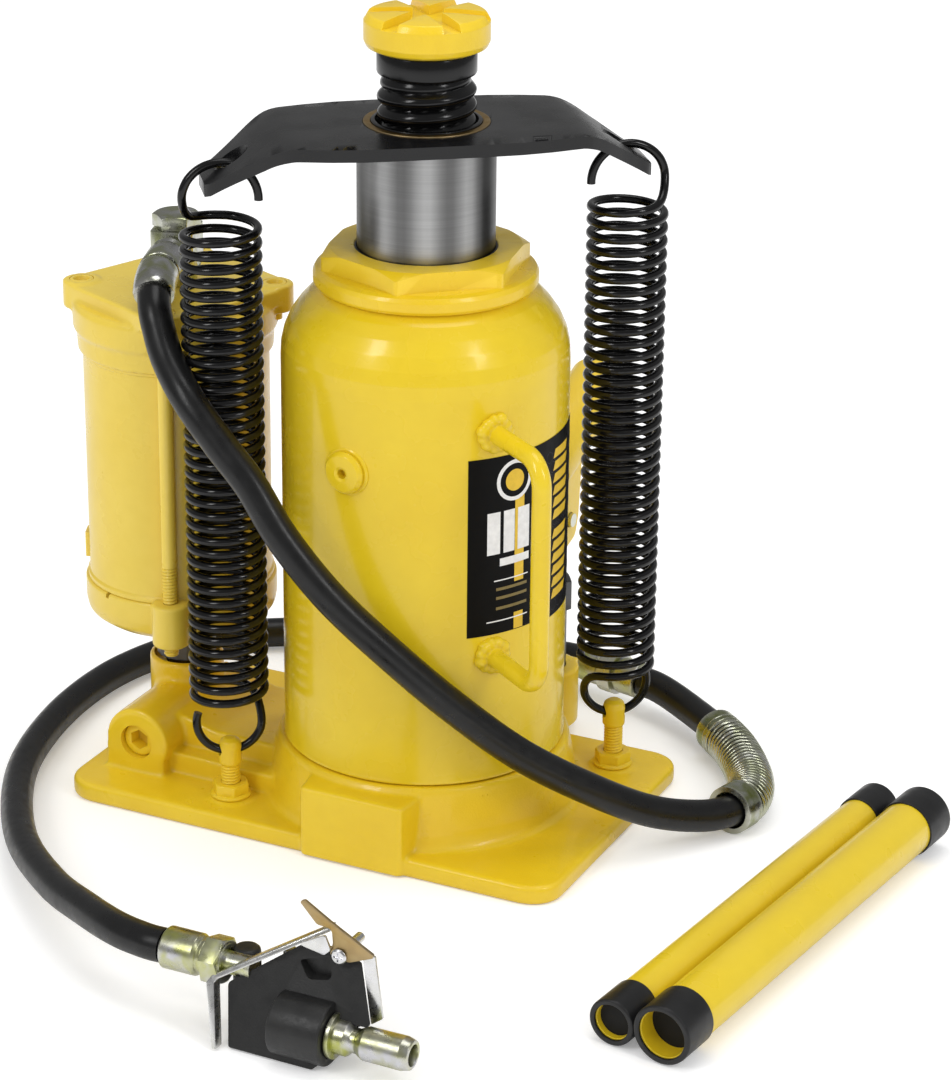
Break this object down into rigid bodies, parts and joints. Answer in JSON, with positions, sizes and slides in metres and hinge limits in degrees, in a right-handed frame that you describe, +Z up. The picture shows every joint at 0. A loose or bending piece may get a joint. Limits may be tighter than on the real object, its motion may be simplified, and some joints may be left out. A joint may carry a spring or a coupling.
{
  "type": "bottle jack",
  "caption": "Air-assisted hydraulic bottle jack: ram with extension screw, spring-return yoke, vertical air motor, manual pump, hose with lever valve and a two-piece pump handle.",
  "frame": {"origin": "reservoir axis at ground level, on the underside of the base", "axes": "+Z up along the lift; +X along the base plate's long edge, away from the air motor; -Y towards the front long edge, the side with the filler plug"},
  "size_m": [0.3827, 0.3506, 0.3291],
  "materials": {
    "mat_air_inlet_elbow": "zinc plated",
    "mat_air_motor_cylinder": "gloss",
    "mat_air_motor_lower_cap": "gloss",
    "mat_air_motor_upper_cap": "gloss",
    "mat_air_piston": "brushed",
    "mat_air_piston_spring": "brushed",
    "mat_air_plug_nipple": "zinc plated",
    "mat_air_pump_barrel": "zinc plated",
    "mat_air_pump_plunger": "brushed",
    "mat_banjo_bolt": "zinc plated",
    "mat_base_casting": "gloss",
    "mat_carry_handle": "gloss",
    "mat_extension_screw": "gloss",
    "mat_eye_bolt_left": "gloss",
    "mat_eye_bolt_nut_left": "gloss",
    "mat_eye_bolt_nut_right": "gloss",
    "mat_eye_bolt_right": "gloss",
    "mat_filler_plug": "gloss",
    "mat_gallery_plug": "satin",
    "mat_gland_nut": "gloss",
    "mat_hand_pump_cylinder": "satin",
    "mat_hand_pump_plunger": "brushed",
    "mat_handle_sleeve_large_far": "moulded",
    "mat_handle_sleeve_large_near": "moulded",
    "mat_handle_sleeve_small_far": "moulded",
    "mat_handle_sleeve_small_near": "moulded",
    "mat_handle_tube_large": "gloss",
    "mat_handle_tube_small": "gloss",
    "mat_hose_coupling": "zinc plated",
    "mat_hose_ferrule_motor": "zinc plated",
    "mat_hose_lower": "matte",
    "mat_hose_spring_guard": "zinc plated",
    "mat_hose_upper": "matte",
    "mat_hydraulic_cylinder": "brushed",
    "mat_lever_pivot_screw": "brushed",
    "mat_link_base_pin": "zinc plated",
    "mat_link_top_pin": "zinc plated",
    "mat_plunger_pin": "zinc plated",
    "mat_pump_handle_socket": "gloss",
    "mat_pump_link": "satin",
    "mat_ram": "brushed",
    "mat_ram_piston_seal": "matte",
    "mat_rating_label": "printed film",
    "mat_release_valve_screw": "zinc plated",
    "mat_reservoir_tank": "gloss",
    "mat_return_spring_left": "gloss",
    "mat_return_spring_right": "gloss",
    "mat_saddle": "satin",
    "mat_spring_yoke": "gloss",
    "mat_tie_rod_1": "gloss",
    "mat_tie_rod_2": "gloss",
    "mat_tie_rod_3": "gloss",
    "mat_tie_rod_4": "gloss",
    "mat_valve_body": "moulded",
    "mat_valve_hose_end": "zinc plated",
    "mat_valve_latch": "zinc plated",
    "mat_valve_lever": "brushed",
    "mat_valve_stem": "brushed",
    "mat_yoke_bush": "zinc plated"
  },
  "bodies": {
    "jack_frame": {"air_inlet_elbow": "mat_air_inlet_elbow", "air_motor_cylinder": "mat_air_motor_cylinder", "air_motor_lower_cap": "mat_air_motor_lower_cap", "air_motor_upper_cap": "mat_air_motor_upper_cap", "air_piston_spring": "mat_air_piston_spring", "air_plug_nipple": "mat_air_plug_nipple", "air_pump_barrel": "mat_air_pump_barrel", "banjo_bolt": "mat_banjo_bolt", "base_casting": "mat_base_casting", "carry_handle": "mat_carry_handle", "eye_bolt_left": "mat_eye_bolt_left", "eye_bolt_nut_left": "mat_eye_bolt_nut_left", "eye_bolt_nut_right": "mat_eye_bolt_nut_right", "eye_bolt_right": "mat_eye_bolt_right", "gallery_plug": "mat_gallery_plug", "gland_nut": "mat_gland_nut", "hand_pump_cylinder": "mat_hand_pump_cylinder", "hose_coupling": "mat_hose_coupling", "hose_ferrule_motor": "mat_hose_ferrule_motor", "hose_lower": "mat_hose_lower", "hose_spring_guard": "mat_hose_spring_guard", "hose_upper": "mat_hose_upper", "hydraulic_cylinder": "mat_hydraulic_cylinder", "lever_pivot_screw": "mat_lever_pivot_screw", "link_base_pin": "mat_link_base_pin", "rating_label": "mat_rating_label", "reservoir_tank": "mat_reservoir_tank", "return_spring_left": "mat_return_spring_left", "return_spring_right": "mat_return_spring_right", "tie_rod_1": "mat_tie_rod_1", "tie_rod_2": "mat_tie_rod_2", "tie_rod_3": "mat_tie_rod_3", "tie_rod_4": "mat_tie_rod_4", "valve_body": "mat_valve_body", "valve_hose_end": "mat_valve_hose_end"},
    "ram_group": {"ram": "mat_ram", "ram_piston_seal": "mat_ram_piston_seal", "spring_yoke": "mat_spring_yoke", "yoke_bush": "mat_yoke_bush"},
    "saddle_group": {"saddle": "mat_saddle"},
    "screw_group": {"extension_screw": "mat_extension_screw"},
    "pump_plunger_group": {"hand_pump_plunger": "mat_hand_pump_plunger", "plunger_pin": "mat_plunger_pin"},
    "socket_group": {"pump_handle_socket": "mat_pump_handle_socket", "link_top_pin": "mat_link_top_pin"},
    "link_group": {"pump_link": "mat_pump_link"},
    "release_valve_group": {"release_valve_screw": "mat_release_valve_screw"},
    "filler_plug_group": {"filler_plug": "mat_filler_plug"},
    "air_piston_group": {"air_piston": "mat_air_piston", "air_pump_plunger": "mat_air_pump_plunger"},
    "lever_group": {"valve_lever": "mat_valve_lever"},
    "stem_group": {"valve_stem": "mat_valve_stem"},
    "latch_group": {"valve_latch": "mat_valve_latch"},
    "small_tube_group": {"handle_tube_small": "mat_handle_tube_small", "handle_sleeve_small_near": "mat_handle_sleeve_small_near", "handle_sleeve_small_far": "mat_handle_sleeve_small_far"},
    "large_tube_group": {"handle_tube_large": "mat_handle_tube_large", "handle_sleeve_large_near": "mat_handle_sleeve_large_near", "handle_sleeve_large_far": "mat_handle_sleeve_large_far"}
  },
  "joints": [
    {"name": "ram_lift", "type": "slide", "parent": "jack_frame", "child": "ram_group", "axis": [0, 0, 1], "range_m": [-0.043, 0.107], "deforming": ["return_spring_left", "return_spring_right"]},
    {"name": "screw_extend", "type": "slide", "parent": "ram_group", "child": "saddle_group", "axis": [0, 0, 1], "range_m": [-0.0215, 0.04]},
    {"name": "screw_turn", "type": "hinge", "parent": "saddle_group", "child": "screw_group", "pos_m": [0, 0, 0.286], "axis": [0, 0, 1], "range_deg": [-1191, 2216]},
    {"name": "plunger_stroke", "type": "slide", "parent": "jack_frame", "child": "pump_plunger_group", "axis": [0, 0, 1], "range_m": [-0.008, 0.008]},
    {"name": "socket_pivot", "type": "hinge", "parent": "pump_plunger_group", "child": "socket_group", "pos_m": [0.016, 0.0845, 0.0975], "axis": [1, 0, 0], "range_deg": [-24.9, 24.9]},
    {"name": "link_swing", "type": "hinge", "parent": "jack_frame", "child": "link_group", "pos_m": [0.016, 0.066, 0.045], "axis": [1, 0, 0], "range_deg": [-4.2, 4.2]},
    {"name": "release_valve_turn", "type": "hinge", "parent": "jack_frame", "child": "release_valve_group", "pos_m": [-0.013, 0.093, 0.015], "axis": [0, 1, 0], "range_deg": [0, 360]},
    {"name": "filler_plug_out", "type": "slide", "parent": "jack_frame", "child": "filler_plug_group", "axis": [-0.0993, -0.9951, 0], "range_m": [0, 0.01]},
    {"name": "air_piston_stroke", "type": "slide", "parent": "jack_frame", "child": "air_piston_group", "axis": [0, 0, 1], "range_m": [-0.018, 0.022], "deforming": ["air_piston_spring"]},
    {"name": "valve_lever_press", "type": "hinge", "parent": "jack_frame", "child": "lever_group", "pos_m": [0.0565, -0.1852, 0.0337], "axis": [0, -1, 0], "range_deg": [0, 3]},
    {"name": "valve_stem_travel", "type": "slide", "parent": "jack_frame", "child": "stem_group", "axis": [0, 0, -1], "range_m": [0, 0.00105]},
    {"name": "valve_latch_swing", "type": "hinge", "parent": "jack_frame", "child": "latch_group", "pos_m": [0.0565, -0.1852, 0.0337], "axis": [0, -1, 0], "range_deg": [0, 25]},
    {"name": "small_tube_lift", "type": "slide", "parent": "jack_frame", "child": "small_tube_group", "axis": [0, 0, 1], "range_m": [0, 0.25]},
    {"name": "large_tube_lift", "type": "slide", "parent": "jack_frame", "child": "large_tube_group", "axis": [0, 0, 1], "range_m": [0, 0.25]}
  ],
  "couplings": [
    {"joint": "screw_turn", "follows": "screw_extend", "rad_per_m": 966.64},
    {"joint": "socket_pivot", "follows": "plunger_stroke", "rad_per_m": 54.05},
    {"joint": "link_swing", "follows": "plunger_stroke", "rad_per_m": -9},
    {"joint": "valve_stem_travel", "follows": "valve_lever_press", "m_per_rad": 0.0195}
  ]
}
